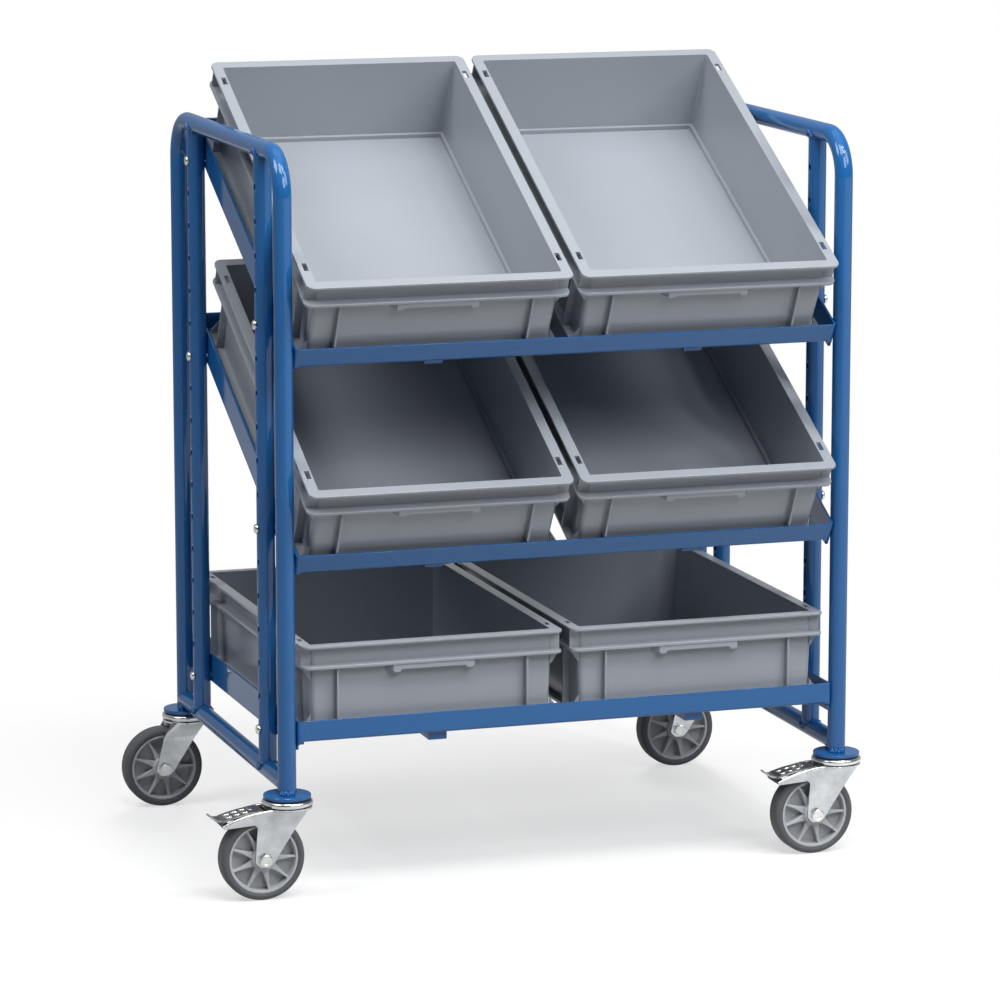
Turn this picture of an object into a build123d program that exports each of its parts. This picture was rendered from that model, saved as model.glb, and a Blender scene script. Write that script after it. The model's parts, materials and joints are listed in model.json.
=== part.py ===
"""Euro box trolley: two tube hoops, three trays, six euro boxes and four swivel casters.

Units are millimetres. +Z is up, the front faces -Y, and the origin lies on the floor
below the middle of the frame. At rest every caster trails towards -X.
"""

import os
from math import asin, atan2, cos, degrees, hypot, sin

from build123d import *

os.makedirs("parts", exist_ok=True)

# Euro boxes
box_length = 600.0
box_width = 400.0
box_height = 136.0
box_wall = 2.7
box_floor = 3.0
box_draft = 3.0
box_corner = 9.0
inside_corner = 3.0
rim_width = 16.3
rim_thick = 4.5
rim_corner = 12.0
rim_round = 1.3
collar_depth = 26.0
flange_thick = 5.0
flange_setback = 0.5
foot_height = 7.0
foot_inset = 5.0
rib_thick = 3.0
rib_setback = 5.0
short_rib_inset = 55.0
long_rib_inset = 57.0
gusset_drop = 19.0
foot_gusset_height = 26.0
foot_gusset_slope = 15.0
grip_length = 145.0
grip_drop = 11.0
grip_taper = 11.0
grip_bridge = 4.0
grip_tab_width = 11.0
grip_tab_round = 3.0
slot_length = 19.0
slot_width = 7.0
slot_inset = 53.5
slot_edge = 10.0

# Tube frame
tube_od = 27.0
tube_wall = 2.5
end_room = 60.0
leg_spacing = 592.0
upright_spacing = 384.0
hoop_bend = 60.0
hoop_rise = 55.5
hole_pitch = 50.0
hole_diameter = 9.0
hole_dish_round = 21.0
hole_dish_depth = 1.8
first_hole_rise = 59.0
cross_tube_lift = 1.0
weld_gap = 0.1

# Trays, with their place on the hole grid given in pitches above the first hole
tray_play = 12.0
tray_sheet = 3.0
tray_gap = 0.15
lip_top = 34.0
lip_height = 31.0
rail_ledge = 30.0
rail_inner_bend = 1.0
rail_edge_round = 0.6
side_drop = 9.0
side_corner = 3.0
side_notch = 6.0
corner_bend = 5.0
corner_return = 10.0
support_width = 28.0
support_depth = 13.5
support_inset = 12.0
support_sheet = 2.0
support_spacing = 400.0
tray_pitches = 6
tilt_pitches = 4
tray_levels = {
    "lower": (0, 0),
    "middle": (tray_pitches, tilt_pitches),
    "upper": (2 * tray_pitches, tilt_pitches),
}

# Boxes on the trays: how far the left and the right box stand from the middle, and other gaps
box_gaps = {"lower": (6.5, 6.0), "middle": (10.0, 0.5), "upper": (11.5, 1.0)}
seat_gap = 0.2
lip_gap = 0.3

# Tray fasteners
bolt_diameter = 8.0
bolt_head_diameter = 14.5
bolt_head_height = 4.5
washer_diameter = 16.0
washer_thick = 1.6
nut_width = 13.0
nut_height = 6.5

# Caster wheels
wheel_diameter = 125.0
tyre_width = 32.0
tyre_shoulder = 7.0
rim_diameter = 103.0
rim_face_width = 30.0
rim_ring = 3.5
hub_diameter = 35.0
hub_width = 40.0
web_thick = 6.0
spoke_count = 9
spoke_root = 12.0
spoke_waist = 4.6
spoke_tip = 3.6
spoke_bite = 2.0
spoke_round = 0.9
spoke_setback = 1.5
bush_diameter = 16.0
axle_diameter = 10.0
axle_head_width = 17.0
axle_head_height = 7.0
axle_nut_height = 8.0
axle_thread_end = 3.0
running_clearance = 0.05

# Caster forks and swivel heads
trail = 40.0
hub_gap = 0.5
fork_sheet = 3.0
fork_headroom = 8.5
fork_head_diameter = 73.0
fork_shoulder = 24.5
fork_toe_width = 29.0
fork_toe_drop = 11.5
fork_toe_chamfer = 8.0
fork_toe_round = 5.0
fork_back_lean = 19.0
fork_front_lean = 52.0
swivel_diameter = 75.0
swivel_height = 9.4
swivel_round = 4.2
race_gap = 0.6
ball_diameter = 5.0
ball_circle = 54.0
ball_count = 12
seal_diameter = 66.0
seal_thick = 2.0
plate_diameter = 70.0
plate_thick = 5.0
king_diameter = 12.0
king_collar_diameter = 26.0
king_collar_height = 4.6
king_head_width = 18.0
king_head_height = 7.0
king_nut_height = 10.0
king_end = 16.0

# Brakes of the two front casters
horn_reach = 62.0
horn_tip_height = 3.0
horn_drop = 24.0
horn_step = 4.0
horn_root_round = 6.0
horn_bead = 4.0
horn_root_rise = 3.5
horn_crown_back = 12.0
horn_crown_drop = 5.5
pedal_half_width = 18.8
pedal_sheet = 2.6
pedal_setdown = 1.0
pedal_start = 41.0
pedal_end = 101.0
pedal_fall = 11.5
tongue_reach = 18.0
tongue_rise = 8.0
tongue_half_width = 15.0
tongue_nose = 3.0
tread_rows = 3
tread_first = 0.42
tread_step = 0.2
tread_spacing = 17.0
tread_diameter = 10.0
tread_height = 1.6
pivot_back = 52.0
pivot_drop = 8.0
pivot_diameter = 5.0
pivot_head_diameter = 9.0
pivot_head_height = 1.6
pivot_head_clearance = 0.4
ear_sheet = 2.2
block_length = 7.0
block_height = 9.0

# Heights of the caster stack, from the floor up
axle_height = wheel_diameter / 2
fork_head_bottom = wheel_diameter + fork_headroom
fork_top = fork_head_bottom + fork_sheet
swivel_bottom = fork_top + race_gap
swivel_top = swivel_bottom + swivel_height
plate_bottom = swivel_top + seal_thick
leg_base = plate_bottom + plate_thick

# Frame places
tube_radius = tube_od / 2
end_spacing = 2 * box_width + end_room
end_x = end_spacing / 2
leg_y = leg_spacing / 2
upright_y = upright_spacing / 2
cross_tube_height = leg_base + tube_radius + cross_tube_lift
first_hole_height = cross_tube_height + first_hole_rise
hole_count = 2 * tray_pitches + tilt_pitches + 1
hoop_bar_height = first_hole_height + (hole_count - 1) * hole_pitch + hoop_rise
tray_depth = box_length + tray_play
lip_reach = (tray_depth - upright_spacing) / 2
saddle_radius = tube_radius + weld_gap
corners = {
    "front_left": (-end_x, -leg_y),
    "front_right": (end_x, -leg_y),
    "rear_left": (-end_x, leg_y),
    "rear_right": (end_x, leg_y),
}
braked_corners = ("front_left", "front_right")


def tray_place(level):
    """Return the location of a tray: its local origin is on its front bolts, at X = 0."""
    pitches, rise = tray_levels[level]
    tilt = atan2(rise * hole_pitch, upright_spacing)
    front_bolt = (0, -upright_y, first_hole_height + pitches * hole_pitch)
    return Plane(front_bolt, x_dir=(1, 0, 0), z_dir=(0, -sin(tilt), cos(tilt))).location


def tray_rear_bolt(level):
    """Return how far behind the front bolts a tray's rear bolts are, along the tray."""
    rise = tray_levels[level][1]
    return hypot(rise * hole_pitch, upright_spacing)


# Hoops: one bent tube at each end, open at the bottom
with BuildPart() as hoop:
    with BuildLine() as hoop_path:
        FilletPolyline(
            (-end_x, -leg_y, leg_base),
            (-end_x, -leg_y, hoop_bar_height),
            (-end_x, leg_y, hoop_bar_height),
            (-end_x, leg_y, leg_base),
            radius=hoop_bend,
        )
    with BuildSketch(Plane((-end_x, -leg_y, leg_base))):
        Circle(tube_radius)
        Circle(tube_radius - tube_wall, mode=Mode.SUBTRACT)
    sweep()
for node, shift in (("left_hoop", 0), ("right_hoop", end_spacing)):
    hoop_piece = hoop.part.moved(Location((shift, 0, 0)))
    hoop_piece.label = node
    export_step(hoop_piece, f"parts/{node}.step")

# Cross tubes: saddle-cut between the legs of each hoop, just above the caster plates
with BuildPart() as cross_tube:
    with BuildSketch(Plane((0, -leg_y, cross_tube_height), x_dir=(1, 0, 0), z_dir=(0, 1, 0))):
        Circle(tube_radius)
        Circle(tube_radius - tube_wall, mode=Mode.SUBTRACT)
    extrude(amount=leg_spacing)
    with Locations((0, -leg_y, cross_tube_height), (0, leg_y, cross_tube_height)):
        Cylinder(saddle_radius, 2 * tube_od, mode=Mode.SUBTRACT)
for node, place_x in (("left_cross_tube", -end_x), ("right_cross_tube", end_x)):
    cross_piece = cross_tube.part.moved(Location((place_x, 0, 0)))
    cross_piece.label = node
    export_step(cross_piece, f"parts/{node}.step")

# Uprights: tubes with a row of dished holes, between the cross tube and the hoop's bar
with BuildPart() as upright:
    with BuildSketch(Plane.XY.offset(cross_tube_height)):
        Circle(tube_radius)
        Circle(tube_radius - tube_wall, mode=Mode.SUBTRACT)
    extrude(amount=hoop_bar_height - cross_tube_height)
    with Locations((0, 0, cross_tube_height), (0, 0, hoop_bar_height)):
        Cylinder(saddle_radius, 2 * tube_od, rotation=(90, 0, 0), mode=Mode.SUBTRACT)
    with Locations(*[(0, 0, first_hole_height + k * hole_pitch) for k in range(hole_count)]):
        Cylinder(hole_diameter / 2, 2 * tube_od, rotation=(0, 90, 0), mode=Mode.SUBTRACT)
    dish_x = tube_radius - hole_dish_depth + hole_dish_round
    for side in (-1, 1):
        with Locations(*[(side * dish_x, 0, first_hole_height + k * hole_pitch) for k in range(hole_count)]):
            Sphere(hole_dish_round, mode=Mode.SUBTRACT)
upright_places = {
    "left_front_upright": (-end_x, -upright_y),
    "left_rear_upright": (-end_x, upright_y),
    "right_front_upright": (end_x, -upright_y),
    "right_rear_upright": (end_x, upright_y),
}
for node, (place_x, place_y) in upright_places.items():
    upright_piece = upright.part.moved(Location((place_x, place_y, 0)))
    upright_piece.label = node
    export_step(upright_piece, f"parts/{node}.step")

# Caster plates: a round plate welded under each leg
with BuildPart() as caster_plates:
    with BuildSketch(Plane.XY.offset(plate_bottom)):
        with GridLocations(end_spacing, leg_spacing, 2, 2):
            Circle(plate_diameter / 2)
            Circle(king_diameter / 2 + running_clearance, mode=Mode.SUBTRACT)
    extrude(amount=plate_thick)
    chamfer(caster_plates.edges().filter_by(GeomType.CIRCLE).group_by(SortBy.RADIUS)[-1], 0.8)
caster_plates.part.label = "caster_plates"
export_step(caster_plates.part, "parts/caster_plates.step")

# Swivel seals: a dark ring between each plate and its swivel head
with BuildPart() as swivel_seals:
    with BuildSketch(Plane.XY.offset(swivel_top)):
        with GridLocations(end_spacing, leg_spacing, 2, 2):
            Circle(seal_diameter / 2)
            Circle(king_diameter / 2 + running_clearance, mode=Mode.SUBTRACT)
    extrude(amount=seal_thick)
swivel_seals.part.label = "swivel_seals"
export_step(swivel_seals.part, "parts/swivel_seals.step")

# Swivel heads: the fixed upper half of each swivel bearing, with the ball groove below
ball_height = (fork_top + swivel_bottom) / 2
groove_radius = ball_diameter / 2 + running_clearance
with BuildPart() as swivel_head:
    with BuildSketch(Plane.XY.offset(swivel_bottom)):
        Circle(swivel_diameter / 2)
    extrude(amount=swivel_height)
    fillet(swivel_head.edges().filter_by(GeomType.CIRCLE), swivel_round)
    with Locations((0, 0, ball_height)):
        Torus(ball_circle / 2, groove_radius, mode=Mode.SUBTRACT)
    with BuildSketch(Plane.XY.offset(swivel_bottom)):
        Circle(king_diameter / 2)
    extrude(amount=swivel_height, mode=Mode.SUBTRACT)
with BuildPart() as swivel_heads:
    with GridLocations(end_spacing, leg_spacing, 2, 2):
        add(swivel_head.part)
swivel_heads.part.label = "swivel_heads"
export_step(swivel_heads.part, "parts/swivel_heads.step")

# Swivel balls: one ring of balls in each swivel bearing
with BuildPart() as swivel_balls:
    for corner_x, corner_y in corners.values():
        with Locations((corner_x, corner_y, ball_height)):
            with PolarLocations(ball_circle / 2, ball_count):
                Sphere(ball_diameter / 2)
swivel_balls.part.label = "swivel_balls"
export_step(swivel_balls.part, "parts/swivel_balls.step")

# King bolts: each holds a fork up by its collar and clamps the swivel head to the plate
king_collar_top = fork_head_bottom - race_gap / 2
king_collar_bottom = king_collar_top - king_collar_height
king_top = leg_base + king_end
with BuildPart() as king_bolts:
    with BuildSketch(Plane.XY.offset(king_collar_bottom - king_head_height)):
        with GridLocations(end_spacing, leg_spacing, 2, 2):
            RegularPolygon(king_head_width / 2, 6, major_radius=False)
    extrude(amount=king_head_height)
    with BuildSketch(Plane.XY.offset(king_collar_bottom)):
        with GridLocations(end_spacing, leg_spacing, 2, 2):
            Circle(king_collar_diameter / 2)
    extrude(amount=king_collar_height)
    with BuildSketch(Plane.XY.offset(king_collar_top)):
        with GridLocations(end_spacing, leg_spacing, 2, 2):
            Circle(king_diameter / 2)
    extrude(amount=king_top - king_collar_top)
king_bolts.part.label = "king_bolts"
export_step(king_bolts.part, "parts/king_bolts.step")

# King nuts: inside the foot of each leg
with BuildPart() as king_nuts:
    with BuildSketch(Plane.XY.offset(leg_base)):
        with GridLocations(end_spacing, leg_spacing, 2, 2):
            RegularPolygon(king_head_width / 2, 6, major_radius=False)
            Circle(king_diameter / 2 + running_clearance, mode=Mode.SUBTRACT)
    extrude(amount=king_nut_height)
king_nuts.part.label = "king_nuts"
export_step(king_nuts.part, "parts/king_nuts.step")

# Tray rails: an angle along the front and one along the rear of each tray
side_face = end_x - tube_radius - tray_gap
plate_face = side_face - tray_sheet
rail_length = 2 * (side_face - corner_return)
lip_bottom = lip_top - lip_height
tray_middle = tray_depth / 2 - lip_reach
with BuildPart() as tray_rails:
    with BuildSketch(Plane((-rail_length / 2, 0, 0), x_dir=(0, 1, 0), z_dir=(1, 0, 0))):
        with BuildLine():
            FilletPolyline(
                (-lip_reach + tray_sheet, lip_top),
                (-lip_reach, lip_top),
                (-lip_reach, lip_bottom),
                (-lip_reach + rail_ledge, lip_bottom),
                (-lip_reach + rail_ledge, lip_bottom + tray_sheet),
                (-lip_reach + tray_sheet, lip_bottom + tray_sheet),
                radius=(
                    rail_edge_round,
                    rail_edge_round,
                    rail_inner_bend + tray_sheet,
                    rail_edge_round,
                    rail_edge_round,
                    rail_inner_bend,
                ),
                close=True,
            )
        make_face()
    extrude(amount=rail_length)
    with BuildSketch(Plane.XY.offset(lip_bottom)):
        with Locations((0, -lip_reach + (corner_bend + rail_ledge) / 2)):
            Rectangle(2 * plate_face, rail_ledge - corner_bend)
    extrude(amount=tray_sheet)
    mirror(about=Plane.XZ.offset(-tray_middle))
for level in tray_levels:
    rails_piece = tray_rails.part.moved(tray_place(level))
    rails_piece.label = f"{level}_tray_rails"
    export_step(rails_piece, f"parts/{level}_tray_rails.step")

# Tray side plates: their ends bend round into the lips; holes for a level and for a tilted tray
notch_low = -side_drop - 1.0
notch_places = [Location((-lip_reach, 0)), Location((tray_depth - lip_reach, 0), (0, 180, 0))]
hole_places = [(y, 0) for y in {0, *(tray_rear_bolt(level) for level in tray_levels)}]
with BuildPart() as side_plates:
    with BuildSketch(Plane.XY.offset(-side_drop)):
        with Locations((0, tray_middle)):
            RectangleRounded(2 * side_face, tray_depth, corner_bend)
            RectangleRounded(
                2 * plate_face,
                tray_depth - 2 * tray_sheet,
                corner_bend - tray_sheet,
                mode=Mode.SUBTRACT,
            )
        with Locations((corner_return, tray_middle)):
            Rectangle(2 * side_face, tray_depth, mode=Mode.SUBTRACT)
    extrude(amount=lip_top + side_drop)
    with BuildSketch(Plane.YZ.offset(-side_face - tray_sheet)):
        with Locations(*notch_places):
            Polygon(
                (-tray_sheet, lip_bottom),
                (0, lip_bottom),
                (corner_bend, lip_bottom - side_notch),
                (corner_bend, notch_low),
                (-tray_sheet, notch_low),
                align=None,
            )
        with Locations(*hole_places):
            Circle(hole_diameter / 2)
    extrude(amount=corner_return + 2 * tray_sheet, mode=Mode.SUBTRACT)
    fillet(side_plates.edges().filter_by(Axis.X).group_by(Axis.Z)[0], side_corner)
    mirror(about=Plane.YZ)
for level in tray_levels:
    sides_piece = side_plates.part.moved(tray_place(level))
    sides_piece.label = f"{level}_tray_side_plates"
    export_step(sides_piece, f"parts/{level}_tray_side_plates.step")

# Tray supports: two folded channels with closed ends, under the ledges of the rails
support_length = tray_depth - 2 * support_inset
with BuildPart() as supports:
    with BuildSketch(Plane.XY.offset(lip_bottom - support_depth)):
        with Locations((0, tray_middle)):
            with GridLocations(support_spacing, 0, 2, 1):
                Rectangle(support_width, support_length)
    extrude(amount=support_depth)
    fillet(supports.edges().group_by(Axis.Z)[0], 1.5)
    with BuildSketch(Plane.XY.offset(lip_bottom - support_depth + support_sheet)):
        with Locations((0, tray_middle)):
            with GridLocations(support_spacing, 0, 2, 1):
                Rectangle(support_width - 2 * support_sheet, support_length - 2 * support_sheet)
    extrude(amount=support_depth, mode=Mode.SUBTRACT)
for level in tray_levels:
    supports_piece = supports.part.moved(tray_place(level))
    supports_piece.label = f"{level}_tray_supports"
    export_step(supports_piece, f"parts/{level}_tray_supports.step")

# Tray bolts, washers and nuts: through both walls of each upright and the side plate
bolt_spots = []
for level, (pitches, rise) in tray_levels.items():
    for bolt_y, row in ((-upright_y, pitches), (upright_y, pitches + rise)):
        bolt_spots.append((bolt_y, first_hole_height + row * hole_pitch))
head_radius = bolt_head_diameter / 2
head_sag = hole_dish_round - (hole_dish_round**2 - head_radius**2) ** 0.5
bolt_seat = end_x + tube_radius - hole_dish_depth + head_sag + running_clearance
bolt_end = plate_face - washer_thick - nut_height - 2.0
with BuildPart() as tray_bolts:
    with BuildSketch(Plane.YZ.offset(bolt_end)):
        with Locations(*bolt_spots):
            Circle(bolt_diameter / 2)
    extrude(amount=bolt_seat - bolt_end)
    with BuildSketch(Plane.YZ.offset(bolt_seat)):
        with Locations(*bolt_spots):
            Circle(head_radius)
    extrude(amount=bolt_head_height)
    fillet(tray_bolts.edges().filter_by(GeomType.CIRCLE).group_by(Axis.X)[-1], 3.4)
    mirror(about=Plane.YZ)
tray_bolts.part.label = "tray_bolts"
export_step(tray_bolts.part, "parts/tray_bolts.step")

with BuildPart() as tray_washers:
    with BuildSketch(Plane.YZ.offset(plate_face - washer_thick)):
        with Locations(*bolt_spots):
            Circle(washer_diameter / 2)
            Circle(bolt_diameter / 2 + running_clearance, mode=Mode.SUBTRACT)
    extrude(amount=washer_thick)
    mirror(about=Plane.YZ)
tray_washers.part.label = "tray_washers"
export_step(tray_washers.part, "parts/tray_washers.step")

with BuildPart() as tray_nuts:
    with BuildSketch(Plane.YZ.offset(plate_face - washer_thick - nut_height)):
        with Locations(*bolt_spots):
            RegularPolygon(nut_width / 2, 6, major_radius=False)
            Circle(bolt_diameter / 2 + running_clearance, mode=Mode.SUBTRACT)
    extrude(amount=nut_height)
    mirror(about=Plane.YZ)
tray_nuts.part.label = "tray_nuts"
export_step(tray_nuts.part, "parts/tray_nuts.step")

# Euro box: drafted walls on a stepped foot, three flanges, ribs and grips
wall_setback = rim_width - box_wall
body_top_x = box_width - 2 * wall_setback
body_top_y = box_length - 2 * wall_setback
body_low_x = body_top_x - 2 * box_draft
body_low_y = body_top_y - 2 * box_draft
rim_bottom = box_height - rim_thick
flange_top = rim_bottom - collar_depth
flange_bottom = flange_top - flange_thick
base_top = foot_height + flange_thick
rib_x = box_width / 2 - rib_setback
rib_y = box_length / 2 - rib_setback
flange_x = box_width / 2 - flange_setback
flange_y = box_length / 2 - flange_setback
short_rib_x = box_width / 2 - short_rib_inset
long_rib_y = box_length / 2 - long_rib_inset
ledge_height = foot_height + box_floor
grip_bottom = flange_bottom - grip_drop
grip_front_length = grip_length - 2 * grip_taper
grip_hollow = flange_y - rim_round - rib_thick - body_top_y / 2
with BuildPart() as grip:
    # A trough open from below, with a tab at each end of its lip
    with BuildSketch(Plane.XY.offset(flange_bottom + rim_round)):
        Polygon(
            (-grip_length / 2, body_low_y / 2),
            (grip_length / 2, body_low_y / 2),
            (grip_front_length / 2, flange_y - rim_round),
            (-grip_front_length / 2, flange_y - rim_round),
            align=None,
        )
    extrude(amount=-grip_drop - rim_round)
    low_edges = grip.edges().group_by(Axis.Z)[0]
    fillet(low_edges.filter_by(lambda edge: abs(edge.tangent_at(0.5).X) < 0.9), grip_tab_round)
    with BuildSketch(Plane((0, body_top_y / 2, grip_bottom), x_dir=(1, 0, 0), z_dir=(0, 1, 0))):
        RectangleRounded(grip_front_length - 2 * grip_tab_width, 2 * grip_bridge, grip_tab_round)
    extrude(amount=wall_setback, mode=Mode.SUBTRACT)
    with BuildSketch(Plane.XY.offset(grip_bottom)):
        with Locations((0, body_top_y / 2 + grip_hollow / 2)):
            Rectangle(grip_front_length - 2 * rib_thick, grip_hollow)
    extrude(amount=grip_drop, mode=Mode.SUBTRACT)
    mirror(about=Plane.XZ)
with BuildPart() as euro_box:
    # Rim, lower flange and base flange, rounded along their edges
    with BuildSketch(Plane.XY.offset(rim_bottom)):
        RectangleRounded(box_width, box_length, rim_corner)
    extrude(amount=rim_thick)
    with BuildSketch(Plane.XY.offset(flange_bottom)):
        RectangleRounded(2 * flange_x, 2 * flange_y, rim_corner)
    extrude(amount=flange_thick)
    with BuildSketch(Plane.XY.offset(foot_height)):
        RectangleRounded(2 * rib_x, 2 * rib_y, rim_corner)
    extrude(amount=flange_thick)
    fillet(euro_box.edges().filter_by(Axis.Z, reverse=True), rim_round)
    # Walls and foot
    with BuildSketch(Plane.XY.offset(foot_height)):
        RectangleRounded(body_low_x, body_low_y, box_corner)
    with BuildSketch(Plane.XY.offset(rim_bottom + rim_thick / 2)):
        RectangleRounded(body_top_x, body_top_y, box_corner)
    loft()
    with BuildSketch():
        RectangleRounded(body_low_x - 2 * foot_inset, body_low_y - 2 * foot_inset, box_corner)
    extrude(amount=foot_height)
    # Ribs of the short sides between the base and the lower flange
    with BuildSketch(Plane.XY.offset(base_top - rim_round)):
        with GridLocations(2 * short_rib_x, 0, 2, 1):
            Rectangle(rib_thick, 2 * rib_y)
    extrude(amount=flange_bottom + rim_round - base_top + rim_round)
    # Ribs of the long sides between the base and the lower flange
    with BuildSketch(Plane.XY.offset(base_top - rim_round)):
        with GridLocations(0, 2 * long_rib_y, 1, 2):
            Rectangle(2 * rib_x, rib_thick)
    extrude(amount=flange_bottom + rim_round - base_top + rim_round)
    # Gussets in line with the short walls: at the foot, below the lower flange and above it
    for gusset_y in (-body_low_y / 2, body_low_y / 2 - rib_thick):
        with BuildSketch(Plane.XZ.offset(-gusset_y)):
            for side in (-1, 1):
                Polygon(
                    (side * body_low_x / 2, base_top + foot_gusset_height - flange_thick),
                    (side * (rib_x - rim_round), base_top + foot_gusset_height - foot_gusset_slope - flange_thick),
                    (side * (rib_x - rim_round), foot_height + rim_round),
                    (side * body_low_x / 2, foot_height + rim_round),
                    align=None,
                )
                Polygon(
                    (side * body_low_x / 2, flange_bottom - gusset_drop),
                    (side * (flange_x - rim_round), flange_bottom + rim_round),
                    (side * (flange_x - rim_round), rim_bottom + rim_round),
                    (side * body_low_x / 2, rim_bottom + rim_round),
                    align=None,
                )
        extrude(amount=-rib_thick)
    # Grips under the lower flange of the short sides
    add(grip.part)
    # Hollow: the drafted inside above a ledge, and the floor inside the foot
    with BuildSketch(Plane.XY.offset(ledge_height)):
        RectangleRounded(body_low_x - 2 * box_wall, body_low_y - 2 * box_wall, inside_corner)
    with BuildSketch(Plane.XY.offset(box_height)):
        RectangleRounded(body_top_x - 2 * box_wall, body_top_y - 2 * box_wall, inside_corner)
    loft(mode=Mode.SUBTRACT)
    with BuildSketch(Plane.XY.offset(box_floor)):
        RectangleRounded(
            body_low_x - 2 * foot_inset - 2 * box_wall,
            body_low_y - 2 * foot_inset - 2 * box_wall,
            inside_corner,
        )
    extrude(amount=foot_height, mode=Mode.SUBTRACT)
    # Slots through the rim of the long sides
    with BuildSketch(Plane.XY.offset(box_height)):
        with GridLocations(box_width - 2 * slot_edge, box_length - 2 * slot_inset, 2, 2):
            Rectangle(slot_width, slot_length)
    extrude(amount=-rim_thick, mode=Mode.SUBTRACT)
box_base = lip_bottom + tray_sheet + seat_gap
for level, (left_gap, right_gap) in box_gaps.items():
    tilted = tray_levels[level][1] > 0
    rest_y = tray_sheet - lip_reach + lip_gap + rib_y if tilted else tray_middle
    left_x = -left_gap - box_width / 2
    right_x = right_gap + box_width / 2
    for side_name, place_x in (("left", left_x), ("right", right_x)):
        box_piece = euro_box.part.moved(tray_place(level) * Location((place_x, rest_y, box_base)))
        box_piece.label = f"{level}_{side_name}_box"
        export_step(box_piece, f"parts/{level}_{side_name}_box.step")

# Wheel rim: hub, web, ring and spokes about the Y axis
rim_radius = rim_diameter / 2
hub_radius = hub_diameter / 2
ring_inner = rim_radius - rim_ring
face_y = rim_face_width / 2
spoke_y = face_y - spoke_setback
with BuildPart() as spoke:
    with BuildSketch(Plane.XZ.offset(spoke_y)):
        with BuildLine():
            flare = Spline(
                (hub_radius - spoke_bite, spoke_root / 2),
                ((hub_radius + ring_inner) / 2, spoke_waist / 2),
                (ring_inner + spoke_bite / 2, spoke_tip / 2),
            )
            mirror(flare, about=Plane.XZ)
            Line(flare @ 0, (hub_radius - spoke_bite, -spoke_root / 2))
            Line(flare @ 1, (ring_inner + spoke_bite / 2, -spoke_tip / 2))
        make_face()
    extrude(amount=-2 * spoke_y)
    fillet(spoke.edges().group_by(Axis.Y)[0] + spoke.edges().group_by(Axis.Y)[-1], spoke_round)
with BuildPart() as wheel_rim:
    with BuildSketch():
        with BuildLine():
            Polyline(
                (bush_diameter / 2, 0),
                (bush_diameter / 2, hub_width / 2),
                (hub_radius - 1.5, hub_width / 2),
                (hub_radius, hub_width / 2 - 1.5),
                (hub_radius + 1.0, web_thick / 2),
                (ring_inner - 2.0, web_thick / 2),
                (ring_inner, face_y - 0.6),
                (ring_inner + 0.6, face_y),
                (rim_radius, face_y),
                (rim_radius, 0),
                close=True,
            )
        make_face()
        mirror(about=Plane.XZ)
    revolve(axis=Axis.Y)
    for k in range(spoke_count):
        add(spoke.part, rotation=(0, 360 / spoke_count * k, 0))

# Tyre: rounded shoulders on the wheel's ring
tyre_radius = wheel_diameter / 2
with BuildPart() as tyre:
    with BuildSketch():
        with BuildLine():
            tread = Line((tyre_radius, 0), (tyre_radius, tyre_width / 2 - tyre_shoulder))
            shoulder = TangentArc(
                tread @ 1,
                (tyre_radius - tyre_shoulder, tyre_width / 2),
                tangent=tread % 1,
            )
            Polyline(shoulder @ 1, (rim_radius, face_y - 0.5), (rim_radius, 0))
            Line((rim_radius, 0), tread @ 0)
        make_face()
        mirror(about=Plane.XZ)
    revolve(axis=Axis.Y)

# Wheel bush: a sleeve in the hub that runs on the axle
with BuildPart() as wheel_bush:
    with BuildSketch(Plane.XZ.offset(hub_width / 2)):
        Circle(bush_diameter / 2)
        Circle(axle_diameter / 2 + running_clearance, mode=Mode.SUBTRACT)
    extrude(amount=-hub_width)

# Axle: a hex bolt through both arms of the fork, with its nut
arm_inner = hub_width / 2 + hub_gap
arm_outer = arm_inner + fork_sheet
with BuildPart() as axle:
    with BuildSketch(Plane.XZ.offset(arm_outer)):
        RegularPolygon(axle_head_width / 2, 6, major_radius=False)
    extrude(amount=axle_head_height)
    with BuildSketch(Plane.XZ.offset(arm_outer)):
        Circle(axle_diameter / 2)
    extrude(amount=-2 * arm_outer - axle_nut_height - axle_thread_end)
    with BuildSketch(Plane.XZ.offset(-arm_outer)):
        RegularPolygon(axle_head_width / 2, 6, major_radius=False)
        Circle(axle_diameter / 2 + running_clearance, mode=Mode.SUBTRACT)
    extrude(amount=-axle_nut_height)

# Fork outlines in the plane of an arm: X from the king bolt, Z from the floor
shoulder_base = fork_top - fork_shoulder
toe_half = fork_toe_width / 2
toe_bottom = axle_height - fork_toe_drop
arm_rise = shoulder_base - axle_height
lean_height = fork_top - axle_height
arm_back = -trail - toe_half + fork_back_lean * arm_rise / lean_height
arm_front = -trail + toe_half + fork_front_lean * arm_rise / lean_height
head_radius = fork_head_diameter / 2
chord_angle = degrees(asin((head_radius**2 - arm_outer**2) ** 0.5 / head_radius))


def fork_shoulder_part(back_x):
    """Build the shoulder that rounds from the flat front arm into the fork's head."""
    with BuildPart() as shoulder:
        with BuildSketch(Plane.XY.offset(shoulder_base)):
            Polygon(
                (back_x, -arm_outer),
                (arm_front, -arm_outer),
                (arm_front, -arm_inner),
                (back_x, -arm_inner),
                align=None,
            )
        with BuildSketch(Plane.XY.offset(fork_top)):
            with BuildLine():
                outer = CenterArc((0, 0), head_radius, 270 - chord_angle, 2 * chord_angle)
                inner = CenterArc((0, 0), head_radius - fork_sheet, 270 - chord_angle, 2 * chord_angle)
                Line(outer @ 0, inner @ 0)
                Line(outer @ 1, inner @ 1)
            make_face()
        loft()
    return shoulder.part


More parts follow.
